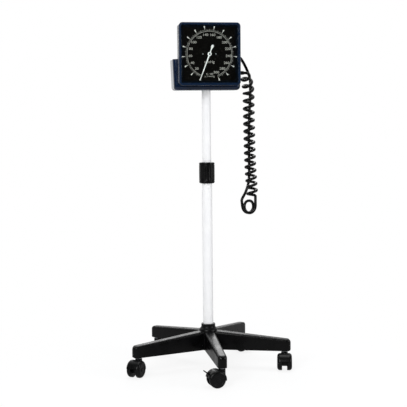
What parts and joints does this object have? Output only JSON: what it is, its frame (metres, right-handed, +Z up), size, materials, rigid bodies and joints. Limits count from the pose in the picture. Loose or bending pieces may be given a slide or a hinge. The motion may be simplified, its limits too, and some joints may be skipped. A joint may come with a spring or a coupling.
{
  "type": "stand aneroid sphygmomanometer",
  "caption": "Stand blood pressure gauge: square dial on a telescopic mast with a rolling star base, an open basket with cuff and bulb, and a curled air hose.",
  "frame": {"origin": "middle of the object's bounding box on the floor, which lies close to the mast's foot", "axes": "+Z up along the mast, the dial faces -Y, +X to the right as the dial is read"},
  "size_m": [0.4184, 0.3948, 0.8528],
  "materials": {
    "black_nylon": "satin moulded nylon",
    "bulb_black": "matte rubber",
    "clear_plastic": "clear polished sheet",
    "cuff_nylon": "woven nylon",
    "dial_black": "matte black enamel",
    "hose_black": "smooth gloss rubber",
    "movement_brass": "machined",
    "navy_plastic": "satin moulded plastic",
    "pointer_white": "matte white enamel",
    "wheel_black": "matte moulded nylon",
    "white_nylon": "natural nylon",
    "white_tube": "gloss white enamel on steel tube",
    "zinc_steel": "zinc plated"
  },
  "bodies": {
    "base": {"base_star": "black_nylon", "mast_bolt": "zinc_steel", "lower_tube": "white_tube", "tube_plug": "zinc_steel", "collar_sleeve": "black_nylon", "grip_collet": "white_nylon"},
    "collar": {"locking_collar": "black_nylon"},
    "mast_slider": {"mast_foot_plug": "black_nylon"},
    "mast": {"upper_tube": "white_tube", "basket": "navy_plastic", "mast_socket": "zinc_steel", "basket_hinge_leaf": "zinc_steel", "folded_cuff": "cuff_nylon", "hose_connector": "black_nylon", "inflation_bulb": "bulb_black", "bulb_inlet_valve": "zinc_steel", "release_valve": "zinc_steel", "bulb_hose": "hose_black", "cuff_hose": "hose_black", "hose_coil": "hose_black", "hose_return": "hose_black"},
    "release_knob": {"release_screw": "zinc_steel"},
    "gauge": {"gauge_case": "navy_plastic", "front_bezel": "navy_plastic", "dial_lens": "clear_plastic", "dial_plate": "dial_black", "dial_screw_left": "zinc_steel", "dial_screw_right": "zinc_steel", "gauge_hinge_leaf": "zinc_steel", "aneroid_capsule": "movement_brass", "movement_back_plate": "movement_brass", "movement_front_plate": "movement_brass", "hairspring": "zinc_steel", "feed_tube": "hose_black", "pressure_port": "zinc_steel"},
    "indicator": {"pinion_arbor": "zinc_steel", "pointer": "pointer_white"},
    "sector": {"toothed_sector": "movement_brass"},
    "brake": {"brake_lever": "black_nylon"},
    "caster_front": {"caster_body_front": "black_nylon", "caster_stem_front": "zinc_steel"},
    "wheel_front_a": {"wheel_front_a": "wheel_black"},
    "wheel_front_b": {"wheel_front_b": "wheel_black"},
    "caster_right": {"caster_body_right": "black_nylon", "caster_stem_right": "zinc_steel"},
    "wheel_right_a": {"wheel_right_a": "wheel_black"},
    "wheel_right_b": {"wheel_right_b": "wheel_black"},
    "caster_right_rear": {"caster_body_right_rear": "black_nylon", "caster_stem_right_rear": "zinc_steel"},
    "wheel_right_rear_a": {"wheel_right_rear_a": "wheel_black"},
    "wheel_right_rear_b": {"wheel_right_rear_b": "wheel_black"},
    "caster_left_rear": {"caster_body_left_rear": "black_nylon", "caster_stem_left_rear": "zinc_steel"},
    "wheel_left_rear_a": {"wheel_left_rear_a": "wheel_black"},
    "wheel_left_rear_b": {"wheel_left_rear_b": "wheel_black"},
    "caster_left": {"caster_body_left": "black_nylon", "caster_stem_left": "zinc_steel"},
    "wheel_left_a": {"wheel_left_a": "wheel_black"},
    "wheel_left_b": {"wheel_left_b": "wheel_black"}
  },
  "joints": [
    {"name": "collar_turn", "type": "hinge", "parent": "base", "child": "collar", "pos_m": [0.0076, 0.0183, 0.46352], "axis": [0, 0, 1], "range_deg": [0, 120]},
    {"name": "mast_height", "type": "slide", "parent": "base", "child": "mast_slider", "axis": [0, 0, 1], "range_m": [-0.165, 0.165]},
    {"name": "mast_turn", "type": "hinge", "parent": "mast_slider", "child": "mast", "pos_m": [0.0076, 0.0183, 0.6925], "axis": [0, 0, 1], "continuous": true},
    {"name": "gauge_tilt", "type": "hinge", "parent": "mast", "child": "gauge", "pos_m": [0.0076, -0.0093, 0.76], "axis": [-1, 0, 0], "range_deg": [-5, 20]},
    {"name": "pointer_turn", "type": "hinge", "parent": "gauge", "child": "indicator", "pos_m": [0.0076, -0.0124, 0.7778], "axis": [0, 1, 0], "range_deg": [0, 318.2], "stiffness_Nm_per_rad": 0.00004},
    {"name": "sector_turn", "type": "hinge", "parent": "gauge", "child": "sector", "pos_m": [0.0076, -0.0124, 0.7578], "axis": [0, 1, 0], "range_deg": [-45.6, 0]},
    {"name": "release_screw_turn", "type": "hinge", "parent": "mast", "child": "release_knob", "pos_m": [-0.0444, 0.0248, 0.695], "axis": [0, 0, 1], "range_deg": [0, 300]},
    {"name": "swivel_front", "type": "hinge", "parent": "base", "child": "caster_front", "pos_m": [0.0076, -0.1732, 0], "axis": [0, 0, 1], "continuous": true},
    {"name": "roll_front_a", "type": "hinge", "parent": "caster_front", "child": "wheel_front_a", "pos_m": [-0.00777, -0.16951, 0.01962], "axis": [0.1736, -0.9848, 0], "continuous": true},
    {"name": "roll_front_b", "type": "hinge", "parent": "caster_front", "child": "wheel_front_b", "pos_m": [-0.00559, -0.18192, 0.01962], "axis": [0.1736, -0.9848, 0], "continuous": true},
    {"name": "swivel_right", "type": "hinge", "parent": "base", "child": "caster_right", "pos_m": [0.18973, -0.04088, 0], "axis": [0, 0, 1], "continuous": true},
    {"name": "roll_right_a", "type": "hinge", "parent": "caster_right", "child": "wheel_right_a", "pos_m": [0.18033, -0.05359, 0.01962], "axis": [0.9744, -0.225, 0], "continuous": true},
    {"name": "roll_right_b", "type": "hinge", "parent": "caster_right", "child": "wheel_right_b", "pos_m": [0.1926, -0.05642, 0.01962], "axis": [0.9744, -0.225, 0], "continuous": true},
    {"name": "swivel_right_rear", "type": "hinge", "parent": "base", "child": "caster_right_rear", "pos_m": [0.12016, 0.17323, 0], "axis": [0, 0, 1], "continuous": true},
    {"name": "roll_right_rear_a", "type": "hinge", "parent": "caster_right_rear", "child": "wheel_right_rear_a", "pos_m": [0.12141, 0.15747, 0.01962], "axis": [0.8829, 0.4695, 0], "continuous": true},
    {"name": "roll_right_rear_b", "type": "hinge", "parent": "caster_right_rear", "child": "wheel_right_rear_b", "pos_m": [0.13253, 0.16338, 0.01962], "axis": [0.8829, 0.4695, 0], "continuous": true},
    {"name": "swivel_left_rear", "type": "hinge", "parent": "base", "child": "caster_left_rear", "pos_m": [-0.10496, 0.17323, 0], "axis": [0, 0, 1], "continuous": true},
    {"name": "roll_left_rear_a", "type": "hinge", "parent": "caster_left_rear", "child": "wheel_left_rear_a", "pos_m": [-0.08959, 0.16954, 0.01962], "axis": [-0.1736, 0.9848, 0], "continuous": true},
    {"name": "roll_left_rear_b", "type": "hinge", "parent": "caster_left_rear", "child": "wheel_left_rear_b", "pos_m": [-0.09177, 0.18195, 0.01962], "axis": [-0.1736, 0.9848, 0], "continuous": true},
    {"name": "swivel_left", "type": "hinge", "parent": "base", "child": "caster_left", "pos_m": [-0.17453, -0.04088, 0], "axis": [0, 0, 1], "continuous": true},
    {"name": "roll_left_a", "type": "hinge", "parent": "caster_left", "child": "wheel_left_a", "pos_m": [-0.18755, -0.04983, 0.01962], "axis": [0.848, -0.5299, 0], "continuous": true},
    {"name": "roll_left_b", "type": "hinge", "parent": "caster_left", "child": "wheel_left_b", "pos_m": [-0.17687, -0.05651, 0.01962], "axis": [0.848, -0.5299, 0], "continuous": true},
    {"name": "brake_press", "type": "hinge", "parent": "caster_front", "child": "brake", "pos_m": [-0.01879, -0.17785, 0.02855], "axis": [0.1736, -0.9848, 0], "range_deg": [0, 20]}
  ],
  "couplings": [
    {"joint": "sector_turn", "follows": "pointer_turn", "ratio": -0.14286}
  ]
}
